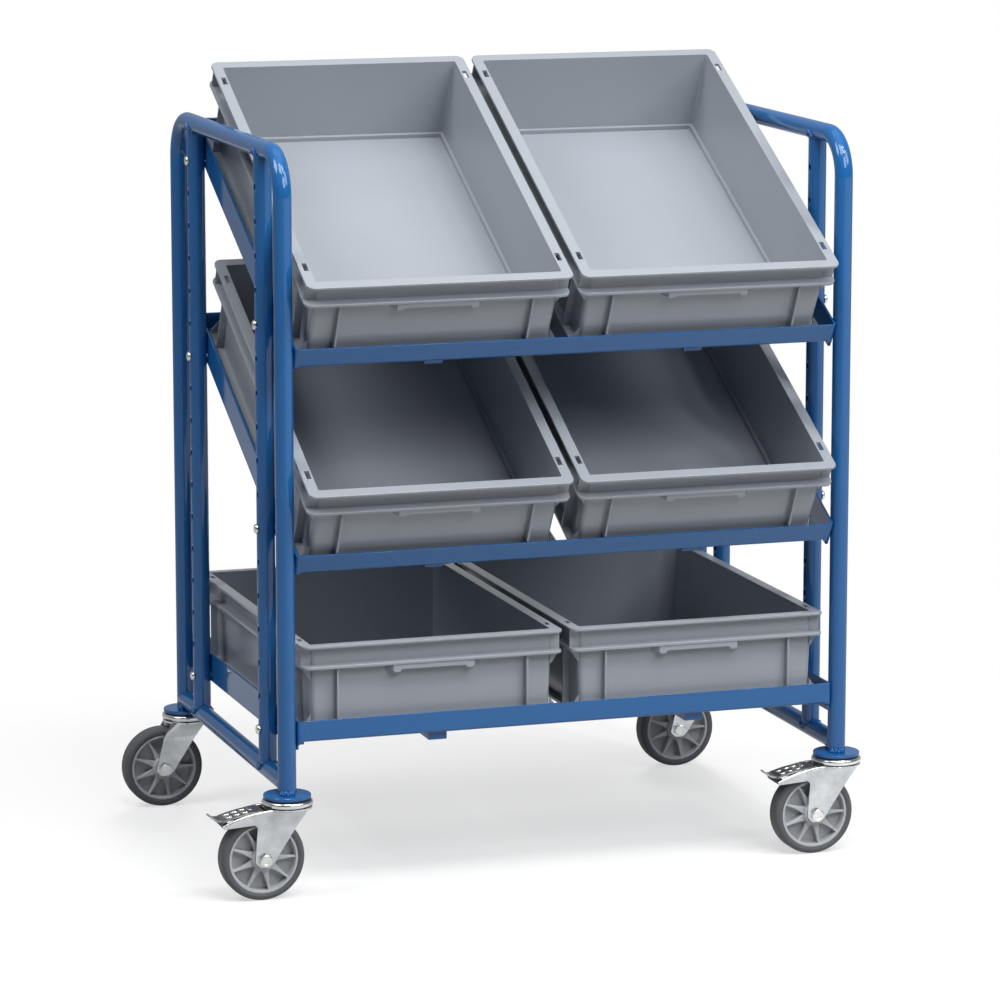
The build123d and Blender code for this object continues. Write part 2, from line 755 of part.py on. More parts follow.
def fork_body(arm_part, back_x):
    """Join an arm and its shoulder, mirrored to both sides, to the round head with its holes."""
    shoulder_part = fork_shoulder_part(back_x)
    with BuildPart() as body:
        add(arm_part)
        add(shoulder_part)
        mirror(about=Plane.XZ)
        with BuildSketch(Plane.XY.offset(fork_head_bottom)):
            Circle(head_radius)
        extrude(amount=fork_sheet)
        with BuildSketch(Plane.XY.offset(fork_head_bottom)):
            Circle(king_diameter / 2 + running_clearance)
        extrude(amount=fork_sheet, mode=Mode.SUBTRACT)
        with Locations((0, 0, ball_height)):
            Torus(ball_circle / 2, groove_radius, mode=Mode.SUBTRACT)
        with Locations((-trail, 0, axle_height)):
            Cylinder(axle_diameter / 2, 4 * arm_outer, rotation=(90, 0, 0), mode=Mode.SUBTRACT)
    return body.part


toe = [
    (-trail + toe_half, toe_bottom + fork_toe_chamfer),
    (-trail + toe_half - fork_toe_chamfer, toe_bottom),
    (-trail - toe_half + fork_toe_chamfer, toe_bottom),
    (-trail - toe_half, toe_bottom + fork_toe_chamfer),
]
toe_rounds = [fork_toe_round] * len(toe)

# Plain fork of the rear casters
with BuildPart() as plain_arm:
    with BuildSketch(Plane.XZ.offset(arm_inner)):
        with BuildLine():
            FilletPolyline(
                (arm_front, shoulder_base),
                *toe,
                (arm_back, shoulder_base),
                radius=(0, *toe_rounds, 0),
                close=True,
            )
        make_face()
    extrude(amount=fork_sheet)
plain_fork = fork_body(plain_arm.part, arm_back)

# Braked fork of the front casters: each arm has a horn over the wheel for the pedal's pivot
horn_end = -trail - horn_reach
horn_base = fork_top - horn_drop
horn_top = fork_top - horn_bead / 2
horn_root = -((head_radius**2 - arm_outer**2) ** 0.5)
pivot_height = fork_top - pivot_drop
with BuildPart() as braked_arm:
    with BuildSketch(Plane.XZ.offset(arm_inner)):
        with BuildLine():
            FilletPolyline(
                (horn_root + fork_sheet, horn_top),
                (horn_root + fork_sheet, shoulder_base),
                (arm_front, shoulder_base),
                *toe,
                (-trail - toe_half + horn_step, horn_base + horn_root_rise),
                (horn_end + horn_tip_height / 2, horn_base),
                (horn_end, horn_base + horn_tip_height),
                radius=(0, 0, *toe_rounds, horn_root_round, horn_tip_height / 3),
            )
            ThreePointArc(
                (horn_end, horn_base + horn_tip_height),
                (-pivot_back - horn_crown_back, horn_top - horn_crown_drop),
                (horn_root + fork_sheet, horn_top),
            )
        make_face()
    extrude(amount=fork_sheet)
    # The horn's upper edge is rolled into a bead
    with BuildLine(Plane.XZ.offset(arm_inner + fork_sheet / 2)):
        bead_path = ThreePointArc(
            (horn_end, horn_base + horn_tip_height),
            (-pivot_back - horn_crown_back, horn_top - horn_crown_drop),
            (horn_root + fork_sheet, horn_top),
        )
    with BuildSketch(Plane(bead_path @ 0, z_dir=bead_path % 0)):
        Circle(horn_bead / 2)
    sweep()
braked_fork_blank = fork_body(braked_arm.part, horn_root)
with BuildPart() as braked_fork:
    add(braked_fork_blank)
    with Locations((-pivot_back, 0, pivot_height)):
        Cylinder(pivot_diameter / 2, 4 * arm_outer, rotation=(90, 0, 0), mode=Mode.SUBTRACT)
    # The bead is pressed flat under the pin's heads
    for seat_y, rise in ((arm_outer, horn_bead), (-arm_outer, -horn_bead)):
        with BuildSketch(Plane.XZ.offset(seat_y)):
            with Locations((-pivot_back, pivot_height)):
                Circle(pivot_head_diameter / 2 + pivot_head_clearance)
        extrude(amount=rise, mode=Mode.SUBTRACT)

# Tongue of the brake pedal: an upturned lip with a rounded nose
pedal_top = fork_top - pedal_setdown
pedal_low = pedal_top - pedal_fall
with BuildPart() as tongue:
    with BuildSketch(Plane.XZ.offset(tongue_half_width)):
        Polygon(
            (-pedal_end + 1.0, pedal_low),
            (-pedal_end - tongue_reach * 0.5, pedal_low + 1.0),
            (-pedal_end - tongue_reach, pedal_low + tongue_rise),
            (-pedal_end - tongue_reach - 1.2, pedal_low + tongue_rise - 1.8),
            (-pedal_end - tongue_reach * 0.5, pedal_low - 1.6),
            (-pedal_end + 1.0, pedal_low - pedal_sheet),
            align=None,
        )
    extrude(amount=-2 * tongue_half_width)
    with BuildSketch(Plane.XY.offset(pedal_low - pedal_sheet)):
        with Locations((-pedal_end + 1.0, 0)):
            Ellipse(tongue_reach + tongue_nose, tongue_half_width)
    extrude(amount=pedal_sheet + tongue_rise, mode=Mode.INTERSECT)

# Brake pedal: a bent plate with two ears on the pivot, raised treads and a tongue
with BuildPart() as brake_pedal:
    with BuildSketch(Plane.XZ.offset(pedal_half_width)):
        with BuildLine():
            crown = Spline(
                (-pedal_start, pedal_top),
                (-(pedal_start + pedal_end) / 2, pedal_top - pedal_fall * 0.32),
                (-pedal_end, pedal_low),
            )
            belly = Spline(
                (-pedal_start, pedal_top - pedal_sheet),
                (-(pedal_start + pedal_end) / 2, pedal_top - pedal_fall * 0.32 - pedal_sheet),
                (-pedal_end, pedal_low - pedal_sheet),
            )
            Line(crown @ 0, belly @ 0)
            Line(crown @ 1, belly @ 1)
        make_face()
    extrude(amount=-2 * pedal_half_width)
    add(tongue.part)
    for k in range(tread_rows):
        spot = crown @ (tread_first + k * tread_step)
        run = crown % (tread_first + k * tread_step)
        lean = degrees(atan2(run.Y, -run.X))
        with Locations(Location((spot.X, 0, spot.Y), (0, lean, 0))):
            with GridLocations(0, tread_spacing, 1, 2):
                Cone(tread_diameter / 2, tread_diameter / 2 - tread_height, 2 * tread_height)
    with BuildSketch(Plane.XZ.offset(pedal_half_width)):
        with Locations((-pivot_back, pivot_height)):
            Circle(pivot_diameter / 2 + 2.5)
        with Locations((-pivot_back, (pivot_height + pedal_top - pedal_sheet) / 2)):
            Rectangle(pivot_diameter + 5.0, pedal_top - pedal_sheet - pivot_height + 1.0)
    extrude(amount=-ear_sheet)
    mirror(about=Plane.XZ)
    with Locations((-pivot_back, 0, pivot_height)):
        Cylinder(
            pivot_diameter / 2 + running_clearance,
            4 * arm_outer,
            rotation=(90, 0, 0),
            mode=Mode.SUBTRACT,
        )

# Pivot pin: riveted across both horns
with BuildPart() as brake_pin:
    with BuildSketch(Plane.XZ.offset(arm_outer)):
        Circle(pivot_diameter / 2)
    extrude(amount=-2 * arm_outer)
    for head_y, rise in ((arm_outer, pivot_head_height), (-arm_outer, -pivot_head_height)):
        with BuildSketch(Plane.XZ.offset(head_y)):
            Circle(pivot_head_diameter / 2)
        extrude(amount=rise)

# Brake block: a dark stop under the end of the pedal
with BuildPart() as brake_block:
    with BuildSketch(Plane.XZ.offset(pedal_half_width - 1.0)):
        with Locations((-pedal_end + block_length / 2, pedal_low - pedal_sheet - block_height / 2)):
            RectangleRounded(block_length, block_height, 1.5)
    extrude(amount=-2 * (pedal_half_width - 1.0))

# Casters: the same pieces at each corner, with a brake at the front
for corner, (corner_x, corner_y) in corners.items():
    king = Location((corner_x, corner_y, 0))
    hub = Location((corner_x - trail, corner_y, axle_height))
    pivot = Location((corner_x - pivot_back, corner_y, pivot_height))
    braked = corner in braked_corners
    pieces = {
        "fork": (braked_fork.part if braked else plain_fork).moved(king),
        "axle": axle.part.moved(hub),
        "wheel_rim": wheel_rim.part.moved(hub),
        "tyre": tyre.part.moved(hub),
        "wheel_bush": wheel_bush.part.moved(hub),
    }
    if braked:
        pieces["brake_pedal"] = brake_pedal.part.moved(king)
        pieces["brake_pin"] = brake_pin.part.moved(pivot)
        pieces["brake_block"] = brake_block.part.moved(king)
    for piece_name, piece in pieces.items():
        piece.label = f"{corner}_{piece_name}"
        export_step(piece, f"parts/{corner}_{piece_name}.step")
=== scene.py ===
"""The looks of a euro box trolley: finishes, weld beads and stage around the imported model."""

import json
from math import pi, radians, tan

import bpy
import numpy as np
from mathutils import Euler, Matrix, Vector


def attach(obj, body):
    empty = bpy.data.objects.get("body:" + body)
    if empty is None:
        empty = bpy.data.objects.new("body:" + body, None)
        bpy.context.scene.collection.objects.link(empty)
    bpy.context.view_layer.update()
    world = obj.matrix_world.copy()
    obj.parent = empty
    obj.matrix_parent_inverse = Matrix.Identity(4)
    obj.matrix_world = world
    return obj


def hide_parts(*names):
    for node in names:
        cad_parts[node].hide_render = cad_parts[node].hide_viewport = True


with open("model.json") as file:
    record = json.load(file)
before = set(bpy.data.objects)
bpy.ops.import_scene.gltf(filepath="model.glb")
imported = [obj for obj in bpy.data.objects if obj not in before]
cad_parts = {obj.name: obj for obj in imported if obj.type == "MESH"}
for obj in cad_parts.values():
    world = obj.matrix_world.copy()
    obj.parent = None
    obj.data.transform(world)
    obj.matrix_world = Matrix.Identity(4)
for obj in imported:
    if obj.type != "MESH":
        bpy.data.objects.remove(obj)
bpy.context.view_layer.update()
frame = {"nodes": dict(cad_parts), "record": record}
nodes = frame["nodes"]

# Places of the frame's joints, in metres
end_x = 0.430
leg_y = 0.296
upright_y = 0.192
tube_radius = 0.0135
plate_top = 0.1535
cross_tube_height = 0.168
hoop_bar_height = 1.0825

# Weld beads: lift, gap to the tube and thickness in metres, half of the spread in degrees about the tube
foot_weld = {"lift": 0.0020, "gap": 0.0018, "spread": 40, "thick": 0.0048, "lumps": 13.0}
heel_weld = {"lift": 0.0015, "gap": 0.0012, "spread": 36, "thick": 0.0036, "lumps": 12.0}
saddle_weld = {"lift": 0.0, "gap": 0.0008, "spread": 62, "thick": 0.0027, "lumps": 16.0}
foot_middle = -104
heel_middle = 80
weld_steps = 44
bead_turns = 16

# Brakes: places from the king bolt's axis and the floor, in metres
horn_middle = 0.022
horn_arc = ((-0.102, 0.1155), (-0.064, 0.1290), (-0.0249, 0.1345))
horn_steps = 40
horn_bead_thick = 0.0027
pedal_line = ((-0.041, 0.1355), (-0.071, 0.13182), (-0.101, 0.1240))
nose_start = 0.100
nose_end = 0.105
# Painted highlight: from nose_start to nose_end the pedal's curled nose is made paler by this factor, as if
# it caught the light
nose_painted_highlight = 1.5

# Pads on the pedals: half sizes, rise and dish in metres, and how square the plan is
tread_places = (-0.0662, -0.0782, -0.0902)
tread_offset = 0.0085
tread = {"half": (0.0060, 0.0052), "rise": 0.0024, "dish": 0.0013, "square": 1.0}
tab_place = (-0.056, 0.007)
tab = {"half": (0.0034, 0.0095), "rise": 0.0012, "dish": 0.0, "square": 0.35}
pad_sink = 0.0002
pad_base = 0.0006
pad_middle = 0.06
pad_rings = 12
pad_turns = 28

# Axle bolts, in metres and degrees; the shares are of the circle on top of the head, and of the rod
trail = 0.040
axle_height = 0.0625
axle_radius = 0.005
arm_outer = 0.0235
nut_width = 0.017
nut_height = 0.008
bolt_head_height = 0.007
bolt_clearance = 0.0001
bolt_crown = 0.0004
crown_shares = (0.62, 0.70)
bolt_top_radius = 0.47 * nut_width
bolt_chamfer = 30
thread_end = 0.003
thread_chamfer = 0.0008
thread_share = 0.8
bolt_turns = 72
bolt_sharp = 25

# Wheels: distances from the middle plane in metres, and how much the plastic is darkened and paled there:
# painted shade in the recessed web near the middle plane, painted highlight on the raised edges
wheel_span = (0.003, 0.0135)
wheel_painted_shade_and_highlight = (0.96, 1.18)

# Camera, fitted to the photograph's edges: metres, degrees and millimetres of lens
camera_place = (-2.155, -6.524, 1.756)
camera_heading = 18.224
camera_pitch = 10.267
camera_lens = 164.5
camera_sensor = 36.0
camera_reach = 200.0

# Lamps: name, place, side of the square and watts; the rims would mirror the rear one as white lines
lamp_aim = (0.0, 0.0, 0.6)
unmirrored_lamp = "rear_softbox"
lamps = (
    ("top_softbox", (0.0, 0.0, 4.0), 3.0, 20.0),
    ("key_softbox", (-0.68, -1.88, 4.06), 1.5, 53.0),
    ("front_softbox", (0.57, -3.3, 2.75), 1.5, 49.0),
    ("right_softbox", (2.32, -2.32, 2.9), 1.5, 44.0),
    ("left_softbox", (-2.69, -0.47, 3.53), 1.5, 56.0),
    ("rear_softbox", (0.9, 3.6, 2.4), 2.0, 90.0),
)

# Strips that streak the hoops' bends: x and width of each, and watts per metre of width
strip_aim = (0.0, 0.0, 0.9)
strips = ((0.46, 0.07), (0.78, 0.16), (1.58, 0.16))
strip_y = -1.9
strip_height = 3.9
strip_length = 1.0
strip_power = 120.0

# World: its strengths in reflections, and the spans of direction they change over
gloss_low = 0.06
gloss_high = 0.28
gloss_rear = 0.35
ceiling_span = (0.05, 0.7)
rear_span = (-0.1, 0.4)

# Floor: how pale it is to other light, to the camera and in reflections, and the spans they change over
floor_reach = 40.0
floor_white = 0.42
floor_glow = 0.58
floor_shade = 0.45
floor_span = (0.7, 1.45)
floor_gloss = (0.3, 1.0)
floor_right_span = (-1.2, 0.9)
floor_front_span = (0.5, -0.2)
floor_rough = 0.9


# Shared node helpers

def new_material(name):
    """Make an empty node material with a Principled shader, and return it with its tree and shader."""
    material = bpy.data.materials.new(name)
    material.use_nodes = True
    tree = material.node_tree
    shader = tree.nodes["Principled BSDF"]
    return material, tree, shader


def new_group(name, inputs, outputs):
    """Make a shader node group with float or colour sockets, and return it with its two ends."""
    group = bpy.data.node_groups.new(name, "ShaderNodeTree")
    for label, kind, value in inputs:
        socket = group.interface.new_socket(label, in_out="INPUT", socket_type=kind)
        if value is not None:
            socket.default_value = value
    for label, kind in outputs:
        group.interface.new_socket(label, in_out="OUTPUT", socket_type=kind)
    start = group.nodes.new("NodeGroupInput")
    end = group.nodes.new("NodeGroupOutput")
    return group, start, end


def feed(tree, socket, value):
    """Give a socket a value, or join it to another node's output."""
    if isinstance(value, bpy.types.NodeSocket):
        tree.links.new(value, socket)
    else:
        socket.default_value = value


def add_node(tree, kind, inputs=None, **settings):
    """Add a node with settings by attribute name, and with values or outputs fed to its inputs by name."""
    node = tree.nodes.new(kind)
    for key, value in settings.items():
        setattr(node, key, value)
    for label, value in (inputs or {}).items():
        feed(tree, node.inputs[label], value)
    return node


def reckon(tree, operation, *values):
    """Add a Math node that works on numbers or other nodes' outputs, and return its output."""
    node = add_node(tree, "ShaderNodeMath", operation=operation)
    for socket, value in zip(node.inputs, values):
        feed(tree, socket, value)
    return node.outputs[0]


def ramp(tree, value, span, ends, interpolation="SMOOTHSTEP"):
    """Add a Map Range node that takes a value across a span from one end to the other; return its output."""
    node = add_node(tree, "ShaderNodeMapRange", interpolation_type=interpolation)
    for socket, item in zip(node.inputs, (value, *span, *ends)):
        feed(tree, socket, item)
    return node.outputs["Result"]


def object_place(tree):
    """Return the output that gives the object's own coordinates."""
    return add_node(tree, "ShaderNodeTexCoord").outputs["Object"]


def split_axes(tree, vector):
    """Return the outputs that give the X, Y and Z of a vector."""
    return add_node(tree, "ShaderNodeSeparateXYZ", {"Vector": vector}).outputs


def srgb(red, green, blue):
    """Turn 0-255 display values into the linear colour that a shader takes."""
    display = np.array([red, green, blue]) / 255
    linear = np.where(display <= 0.04045, display / 12.92, ((display + 0.055) / 1.055) ** 2.4)
    return (*linear.tolist(), 1.0)


# Node groups

def make_mottle_group():
    """A noise shifts a colour's brightness, as in real coats and mouldings; on zinc its large swing is also
    painted reflection of the surroundings. It is also a mask.
    """
    group, start, end = new_group(
        "mottle",
        [
            ("Color", "NodeSocketColor", None),
            ("Scale", "NodeSocketFloat", 8.0),
            ("Amount", "NodeSocketFloat", 0.06),
        ],
        [("Color", "NodeSocketColor"), ("Mask", "NodeSocketFloat")],
    )
    given = start.outputs
    place = object_place(group)
    noise = add_node(
        group,
        "ShaderNodeTexNoise",
        {"Vector": place, "Scale": given["Scale"], "Detail": 3.0, "Roughness": 0.55},
    ).outputs["Fac"]
    centred = reckon(group, "SUBTRACT", noise, 0.5)
    swing = reckon(group, "MULTIPLY_ADD", centred, given["Amount"], 1.0)
    tint = add_node(group, "ShaderNodeHueSaturation", {"Color": given["Color"], "Value": swing})
    feed(group, end.inputs["Color"], tint.outputs["Color"])
    feed(group, end.inputs["Mask"], noise)
    return group


def make_grain_group():
    """Worn edges, the slow waves of a pressed sheet, and fine noise as a height on top of both."""
    group, start, end = new_group(
        "grain",
        [
            ("Scale", "NodeSocketFloat", 900.0),
            ("Strength", "NodeSocketFloat", 0.1),
            ("Distance", "NodeSocketFloat", 0.0002),
            ("Edge", "NodeSocketFloat", 0.0006),
            ("Wave Scale", "NodeSocketFloat", 30.0),
            ("Wave", "NodeSocketFloat", 0.0),
        ],
        [("Normal", "NodeSocketVector")],
    )
    given = start.outputs
    place = object_place(group)
    edge = add_node(group, "ShaderNodeBevel", {"Radius": given["Edge"]}, samples=4)
    stretch = add_node(group, "ShaderNodeMapping", {"Vector": place, "Scale": (1.0, 1.0, 0.35)})
    slow = add_node(
        group,
        "ShaderNodeTexNoise",
        {"Vector": stretch.outputs["Vector"], "Scale": given["Wave Scale"], "Detail": 1.0, "Roughness": 0.4},
    )
    sheet = add_node(
        group,
        "ShaderNodeBump",
        {"Distance": given["Wave"], "Height": slow.outputs["Fac"], "Normal": edge.outputs["Normal"]},
    )
    fine = add_node(
        group,
        "ShaderNodeTexNoise",
        {"Vector": place, "Scale": given["Scale"], "Detail": 2.0, "Roughness": 0.5},
    )
    skin = add_node(
        group,
        "ShaderNodeBump",
        {
            "Strength": given["Strength"],
            "Distance": given["Distance"],
            "Height": fine.outputs["Fac"],
            "Normal": sheet.outputs["Normal"],
        },
    )
    feed(group, end.inputs["Normal"], skin.outputs["Normal"])
    return group


mottle_group = make_mottle_group()
grain_group = make_grain_group()


# Finishes

def finish_surface(
    name, colour, mottle, grain, roughness, metallic=0.0, spread=0.06, edge=0.0006, wave=(30.0, 0.0)
):
    """Make a finish: mottled colour, soft edges, waves and grain, and roughness that follows the mottle.

    The mottle is a scale and an amount, the grain a scale, a strength and a distance, and the wave a scale
    and a distance.
    """
    material, tree, shader = new_material(name)
    tone = add_node(
        tree,
        "ShaderNodeGroup",
        {"Color": colour, "Scale": mottle[0], "Amount": mottle[1]},
        node_tree=mottle_group,
    )
    skin = add_node(
        tree,
        "ShaderNodeGroup",
        {
            "Scale": grain[0],
            "Strength": grain[1],
            "Distance": grain[2],
            "Edge": edge,
            "Wave Scale": wave[0],
            "Wave": wave[1],
        },
        node_tree=grain_group,
    )
    rough = ramp(tree, tone.outputs["Mask"], (0.0, 1.0), (roughness - spread, roughness + spread), "LINEAR")
    feed(tree, shader.inputs["Base Color"], tone.outputs["Color"])
    feed(tree, shader.inputs["Normal"], skin.outputs["Normal"])
    feed(tree, shader.inputs["Roughness"], rough)
    feed(tree, shader.inputs["Metallic"], metallic)
    return material


def tint_finish(material, measure, span, tones):
    """Make a finish darker or paler, from one tone to the other as a measure goes across a span."""
    tree = material.node_tree
    colour = tree.nodes["Principled BSDF"].inputs["Base Color"]
    source = colour.links[0].from_socket
    tone = ramp(tree, measure, span, tones, "LINEAR")
    tint = add_node(tree, "ShaderNodeHueSaturation", {"Color": source, "Value": tone})
    feed(tree, colour, tint.outputs["Color"])


def wheel_stand(tree):
    """How far a point stands out from its wheel's middle plane: the size of |y| - leg_y."""
    axes = split_axes(tree, object_place(tree))
    side = reckon(tree, "ABSOLUTE", axes["Y"])
    return reckon(tree, "ABSOLUTE", reckon(tree, "SUBTRACT", side, leg_y))


def pedal_reach(tree):
    """How far along x a point lies from its king bolt's axis: x - end_x * sign(x)."""
    axes = split_axes(tree, object_place(tree))
    side = reckon(tree, "SIGN", axes["X"])
    return reckon(tree, "MULTIPLY_ADD", side, -end_x, axes["X"])


blue = srgb(31, 98, 161)
blue_coat = finish_surface(
    "blue_coat", blue, (6.0, 0.08), (260.0, 0.012, 0.0004), 0.08, spread=0.02, edge=0.0008
)
weld_coat = finish_surface(
    "weld_coat", blue, (6.0, 0.08), (700.0, 0.9, 0.0006), 0.05, spread=0.02, edge=0.0002
)
box_plastic = finish_surface(
    "box_plastic", srgb(158, 164, 172), (5.0, 0.06), (1400.0, 0.04, 0.0002), 0.25, edge=0.0008
)
# Zinc: the strong mottle is partly the plating's own uneven tone and partly painted reflection, dark and
# pale streaks standing in for the surroundings mirrored in the forks
zinc_steel = finish_surface(
    "zinc_steel", srgb(206, 209, 212), (22.0, 1.2), (400.0, 0.06, 0.0002), 0.22, metallic=1.0,
    edge=0.0008, wave=(34.0, 0.004)
)
bolt_steel = finish_surface(
    "bolt_steel", srgb(234, 234, 232), (90.0, 0.30), (500.0, 0.10, 0.0002), 0.30, metallic=1.0, edge=0.0005
)
# Pale steel: the tray bolts' own colour, and painted highlight on the horn beads and pedal treads, which are
# paler than the steel they stand on
pale_steel_and_painted_highlight = finish_surface(
    "pale_steel_and_painted_highlight", srgb(224, 224, 222), (90.0, 0.30), (500.0, 0.10, 0.0002), 0.20, metallic=1.0, edge=0.0004
)
chrome_steel = finish_surface(
    "chrome_steel", srgb(226, 227, 228), (40.0, 0.10), (500.0, 0.03, 0.0001), 0.18, metallic=1.0
)
# Dark steel for the pedals: its dark tone is painted reflection, standing in for the dark surroundings that
# the pedals mirror
dark_steel = finish_surface(
    "dark_steel", srgb(150, 150, 150), (50.0, 0.20), (300.0, 0.10, 0.0002), 0.36, metallic=1.0
)
tyre_rubber = finish_surface(
    "tyre_rubber", srgb(94, 95, 99), (30.0, 0.14), (1200.0, 0.20, 0.0002), 0.62
)
rim_plastic = finish_surface(
    "rim_plastic", srgb(180, 183, 187), (25.0, 0.10), (1200.0, 0.15, 0.0002), 0.50
)
bush_plastic = finish_surface(
    "bush_plastic", srgb(205, 203, 195), (60.0, 0.06), (1200.0, 0.10, 0.0002), 0.5
)
black_rubber = finish_surface(
    "black_rubber", srgb(32, 32, 33), (40.0, 0.20), (900.0, 0.20, 0.0002), 0.55
)
# Painted shade and highlight on the wheels: the web near the middle plane is darker and the raised edges
# paler, as light and shade would make them
tint_finish(rim_plastic, wheel_stand(rim_plastic.node_tree), wheel_span, wheel_painted_shade_and_highlight)
# Painted highlight on the pedals' curled noses: the colour grows paler towards the tip
tint_finish(dark_steel, pedal_reach(dark_steel.node_tree), (-nose_start, -nose_end), (1.0, nose_painted_highlight))

slot_finish = {
    "blue_coat": blue_coat,
    "box_plastic": box_plastic,
    "zinc_steel": zinc_steel,
    "dark_steel": dark_steel,
    "tyre_rubber": tyre_rubber,
    "rim_plastic": rim_plastic,
    "bush_plastic": bush_plastic,
    "black_rubber": black_rubber,
}
for entry in frame["record"]["subparts"]:
    piece = nodes[entry["node"]]
    piece.data.materials.clear()
    piece.data.materials.append(slot_finish[entry["material_slot"]])
nodes["swivel_heads"].data.materials[0] = chrome_steel
nodes["tray_bolts"].data.materials[0] = pale_steel_and_painted_highlight


# Meshes from rings of points

def add_mesh(name, points, faces, body, finish):
    """Make a smooth piece from points and groups of faces, with a finish, riding on a body."""
    mesh = bpy.data.meshes.new(name)
    mesh.from_pydata(points.tolist(), [], [face for group in faces for face in group.tolist()])
    mesh.shade_smooth()
    mesh.materials.append(finish)
    piece = bpy.data.objects.new(name, mesh)
    bpy.context.scene.collection.objects.link(piece)
    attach(piece, body)
    return piece


def ring_faces(rings, turns):
    """Return the quads between closed rings of points, and the fans from the end rings to two poles."""
    spots = np.arange(rings * turns).reshape(rings, turns)
    beside = np.roll(spots, -1, axis=1)
    quads = np.stack([spots[:-1], beside[:-1], beside[1:], spots[1:]], axis=-1).reshape(-1, 4)
    pole = np.full(turns, rings * turns)
    first = np.stack([pole, beside[0], spots[0]], axis=-1)
    last = np.stack([pole + 1, spots[-1], beside[-1]], axis=-1)
    return quads, np.concatenate([first, last])


def repeat_faces(faces, copies, points_each):
    """Return the faces of several alike sets of points, laid one after the other."""
    shifts = points_each * np.arange(copies)[:, None, None]
    return [(group + shifts).reshape(-1, group.shape[1]) for group in faces]


def bead(name, path, out, up, thick, lumps, body, finish):
    """Lay a round bead along a path, lumpy where lumps is not zero.

    At a share s of the way from -1 to 1 the bead's thickness is thick * (1 - s^4)^(1/2), and a lumpy skin
    stands out further by waves along and around it: 1 + 0.24 sin(a s + v) + 0.18 sin(1.7 a s - 2 v + 1).
    """
    rings = len(path)
    share = np.linspace(-1, 1, rings + 2)[1:-1, None]
    turn = np.linspace(0, 2 * pi, bead_turns, endpoint=False)[None, :]
    swell = thick * np.sqrt(1 - share**4)
    wave = 0.24 * np.sin(lumps * share + turn) + 0.18 * np.sin(1.7 * lumps * share - 2 * turn + 1)
    reach = (swell * (1 + wave * (lumps > 0)))[..., None]
    way = np.cos(turn)[..., None] * out[:, None] + np.sin(turn)[..., None] * up[:, None]
    skin = path[:, None] + reach * way
    points = np.concatenate([skin.reshape(-1, 3), path[:1], path[-1:]])
    return add_mesh(name, points, ring_faces(rings, bead_turns), body, finish)


# Weld beads

corners = [
    (side, end, side_x, way)
    for side, side_x in (("left", -end_x), ("right", end_x))
    for end, way in (("front", -1), ("rear", 1))
]


def ring_path(centre, radius, rise, middle, spread):
    """A path on a tube's foot: an arc about an upright axis that follows a level or a saddle joint."""
    angle = np.radians(np.linspace(middle - spread, middle + spread, weld_steps))
    level = np.zeros(weld_steps)
    out = np.stack([np.cos(angle), np.sin(angle), level], axis=-1)
    lift = np.stack([level, level, rise * np.abs(np.sin(angle))], axis=-1)
    path = np.array(centre) + radius * out + lift
    up = np.tile([0.0, 0.0, -1.0], (weld_steps, 1))
    return path, out, up


def lay_weld(name, centre, rise, middle, weld):
    """Lay a lumpy bead where a tube stands on another piece of the frame."""
    x, y, height = centre
    path = ring_path((x, y, height + weld["lift"]), tube_radius + weld["gap"], rise, middle, weld["spread"])
    bead(name, *path, weld["thick"], weld["lumps"], "frame", weld_coat)


for side, end, side_x, way in corners:
    foot = (side_x, way * leg_y, plate_top)
    lay_weld(f"{side}_{end}_foot_weld", foot, 0, foot_middle, foot_weld)
    lay_weld(f"{side}_{end}_heel_weld", foot, 0, heel_middle, heel_weld)
    for joint, height, bend in (("low", cross_tube_height, 1), ("high", hoop_bar_height, -1)):
        saddle = (side_x, way * upright_y, height)
        for face, middle in (("outer", 180), ("inner", 0)):
            lay_weld(f"{side}_{end}_{joint}_{face}_weld", saddle, bend * tube_radius, middle, saddle_weld)


# Caster pieces: beads of the brakes' horns, treads and tabs of the pedals, and the axle bolts

def arc_path(side_y, start, middle, end):
    """A path in an upright plane on the circle through three points, with the way out from its middle."""
    a, b, c = np.array(start), np.array(middle), np.array(end)
    centre = np.linalg.solve(2 * np.stack([b - a, c - a]), np.array([b @ b - a @ a, c @ c - a @ a]))
    first, last = (np.arctan2(*(p - centre)[::-1]) for p in (a, c))
    angle = np.linspace(first, last, horn_steps)
    out = np.stack([np.cos(angle), np.zeros(horn_steps), np.sin(angle)], axis=-1)
    path = np.array([centre[0], side_y, centre[1]]) + np.hypot(*(a - centre)) * out
    up = np.tile([0.0, -1.0, 0.0], (horn_steps, 1))
    return path, out, up


def pedal_rise(x):
    """Height of the pedal's top at a distance from the king bolt: a parabola through three points."""
    places, heights = np.array(pedal_line).T
    return np.polyval(np.polyfit(places, heights, 2), x)


def pad_points(centre, half, rise, dish, square):
    """Points of a raised pad on the pedal, and its two poles.

    At a share r from the middle and a turn v, the plan is r * half * |cos v|^square along x and
    r * half * |sin v|^square along y, with the signs of cos and sin. The height above the pedal is
    rise * (1 - r^6) - dish * (1 - r^2)^2 - pad_sink.
    """
    share = np.linspace(pad_middle, 1, pad_rings)[:, None]
    turn = np.linspace(2 * pi, 0, pad_turns, endpoint=False)[None, :]
    across = np.sign(np.cos(turn)) * np.abs(np.cos(turn)) ** square
    along = np.sign(np.sin(turn)) * np.abs(np.sin(turn)) ** square
    x = centre[0] + half[0] * share * across
    y = centre[1] + half[1] * share * along
    z = pedal_rise(x) + rise * (1 - share**6) - dish * (1 - share**2) ** 2 - pad_sink
    rings = np.stack([x, y, z], axis=-1).reshape(-1, 3)
    middle = pedal_rise(centre[0])
    poles = np.array([[*centre, middle + rise - dish], [*centre, middle - pad_base]])
    return np.concatenate([rings, poles])


